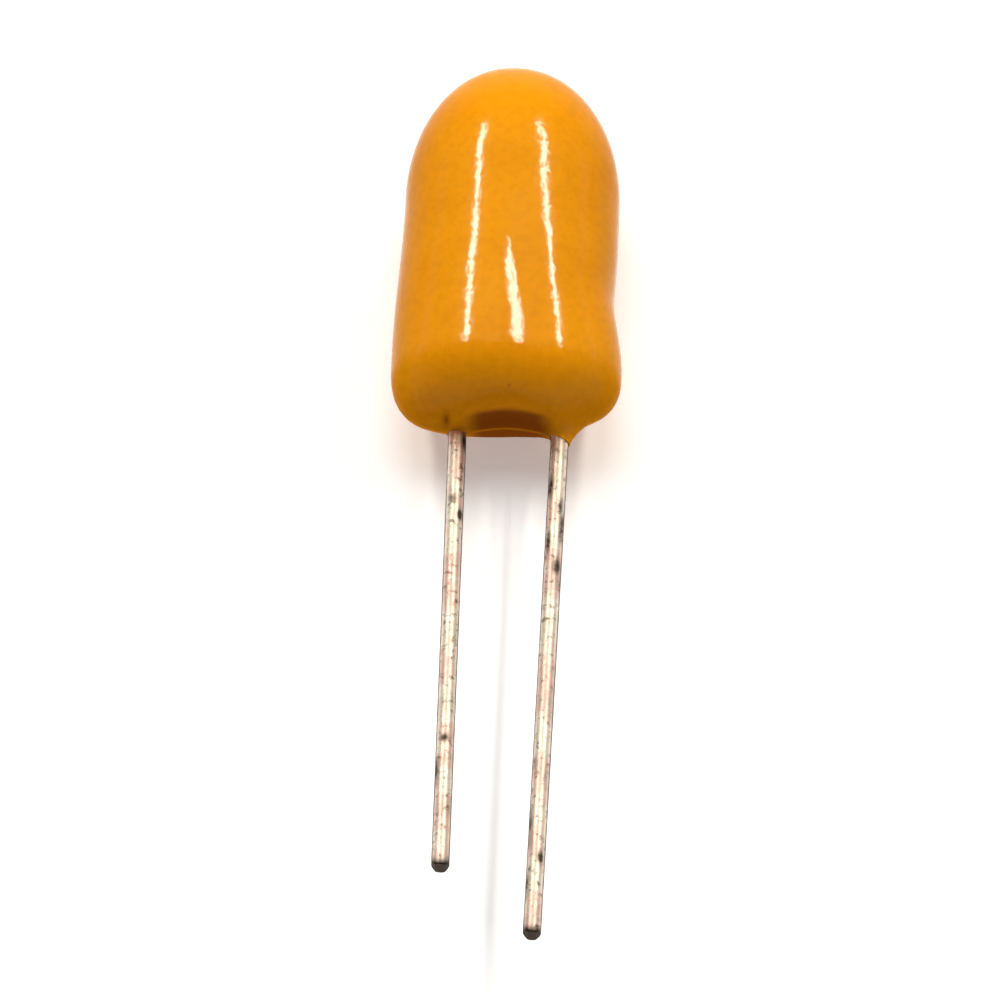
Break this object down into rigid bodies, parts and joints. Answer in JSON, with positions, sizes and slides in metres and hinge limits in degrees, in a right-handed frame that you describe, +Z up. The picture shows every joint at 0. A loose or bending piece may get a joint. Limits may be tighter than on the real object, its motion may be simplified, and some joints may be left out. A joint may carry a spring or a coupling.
{
  "type": "tantalum capacitor",
  "caption": "Dipped radial-lead tantalum capacitor: glossy orange epoxy drop over a sintered pellet, with two straight tinned leads, the positive one longer.",
  "frame": {"origin": "middle of the footprint, on the table that it lies on", "axes": "+Y along the body from the lead tips to the dome, +X across the two leads towards the positive one, +Z up"},
  "size_m": [0.0063, 0.0264, 0.0053],
  "materials": {
    "epoxy": "glossy dipped resin",
    "tinned_wire": "tinned wire, dulled and mottled",
    "sintered_tantalum": "porous sintered metal",
    "tantalum_wire": "drawn wire",
    "washer_ptfe": "matt white",
    "manganese_dioxide": "matt black",
    "graphite": "matt dark grey",
    "silver_paint": "dull silver paint",
    "solder": "satin solder"
  },
  "bodies": {
    "root": {"epoxy_coat": "epoxy", "positive_lead": "tinned_wire", "negative_lead": "tinned_wire", "anode_slug": "sintered_tantalum", "riser_wire": "tantalum_wire", "riser_washer": "washer_ptfe", "manganese_dioxide_layer": "manganese_dioxide", "graphite_layer": "graphite", "silver_layer": "silver_paint", "solder_coat": "solder"}
  },
  "joints": []
}
